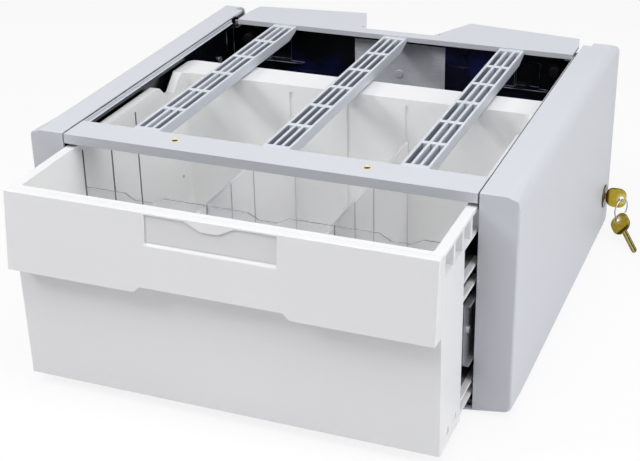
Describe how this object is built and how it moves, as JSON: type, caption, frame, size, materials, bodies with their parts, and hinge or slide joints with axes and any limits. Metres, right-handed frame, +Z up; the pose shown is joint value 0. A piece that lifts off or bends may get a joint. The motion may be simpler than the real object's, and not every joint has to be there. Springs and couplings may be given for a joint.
{
  "type": "lockable storage drawer module",
  "caption": "Low box module with a slatted open top and one deep divided drawer on ball slides, kept shut by a cam lock on its side.",
  "frame": {"origin": "on the base plane, midway between the side covers and midway along their depth", "axes": "+X to the right seen from the drawer's front, +Y to the rear, +Z up"},
  "size_m": [0.4792, 0.5133, 0.2],
  "materials": {
    "grey_plastic": "fine moulded grain",
    "slat_plastic": "satin",
    "black_steel": "satin black",
    "plain_steel": "semi-gloss",
    "zinc_steel": "zinc plated",
    "white_plastic": "satin",
    "clear_plastic": "clear",
    "brass": "polished",
    "rubber": "matt",
    "card": "blank"
  },
  "bodies": {
    "chassis": {"left_cover": "grey_plastic", "right_cover": "grey_plastic", "left_side_plate": "black_steel", "right_side_plate": "black_steel", "base_pan": "black_steel", "rear_panel": "black_steel", "rear_centre_plate": "plain_steel", "front_crossbar": "grey_plastic", "rear_crossbar": "grey_plastic", "slat_left": "slat_plastic", "slat_centre": "slat_plastic", "slat_right": "slat_plastic", "edge_strip_left": "slat_plastic", "edge_strip_right": "slat_plastic", "threaded_inserts": "brass", "bar_seats": "black_steel", "frame_screws": "zinc_steel", "cover_screws": "zinc_steel", "rear_bumpers": "rubber", "slide_outer_left": "zinc_steel", "slide_outer_right": "zinc_steel", "slide_rivets": "zinc_steel", "lock_body": "zinc_steel", "lock_nut": "zinc_steel"},
    "drawer": {"slide_inner_left": "zinc_steel", "slide_inner_right": "zinc_steel", "drawer_side_left": "black_steel", "drawer_side_right": "black_steel", "drawer_screws": "zinc_steel", "drawer_tub": "white_plastic", "drawer_front": "white_plastic", "label_card": "card", "divider_left": "white_plastic", "divider_right": "white_plastic", "cross_panel_left": "clear_plastic", "cross_panel_centre": "clear_plastic", "cross_panel_right": "clear_plastic", "drawer_catch": "zinc_steel"},
    "cage_left": {"ball_cage_left": "zinc_steel", "slide_balls_left": "zinc_steel"},
    "cage_right": {"ball_cage_right": "zinc_steel", "slide_balls_right": "zinc_steel"},
    "lock_core": {"lock_plug": "brass", "lock_cam": "zinc_steel", "cam_screw": "zinc_steel", "lock_key": "brass"},
    "ring": {"key_ring": "zinc_steel"},
    "spare": {"spare_key": "brass"}
  },
  "joints": [
    {"name": "drawer_slide", "type": "slide", "parent": "chassis", "child": "drawer", "axis": [0, -1, 0], "range_m": [-0.095, 0.085]},
    {"name": "cage_left_slide", "type": "slide", "parent": "chassis", "child": "cage_left", "axis": [0, -1, 0], "range_m": [-0.0475, 0.0425]},
    {"name": "cage_right_slide", "type": "slide", "parent": "chassis", "child": "cage_right", "axis": [0, -1, 0], "range_m": [-0.0475, 0.0425]},
    {"name": "lock_turn", "type": "hinge", "parent": "chassis", "child": "lock_core", "pos_m": [0.218, 0.1635, 0.042], "axis": [-1, 0, 0], "range_deg": [0, 90]},
    {"name": "ring_swing", "type": "hinge", "parent": "lock_core", "child": "ring", "pos_m": [0.2365, 0.1635, 0.0408], "axis": [0.4226, 0.9063, 0], "range_deg": [-25, 0]},
    {"name": "spare_key_swing", "type": "hinge", "parent": "ring", "child": "spare", "pos_m": [0.23461, 0.15944, 0.02059], "axis": [-0.383, -0.8214, 0.4226], "range_deg": [0, 40]}
  ],
  "couplings": [
    {"joint": "cage_left_slide", "follows": "drawer_slide", "ratio": 0.5},
    {"joint": "cage_right_slide", "follows": "drawer_slide", "ratio": 0.5}
  ]
}
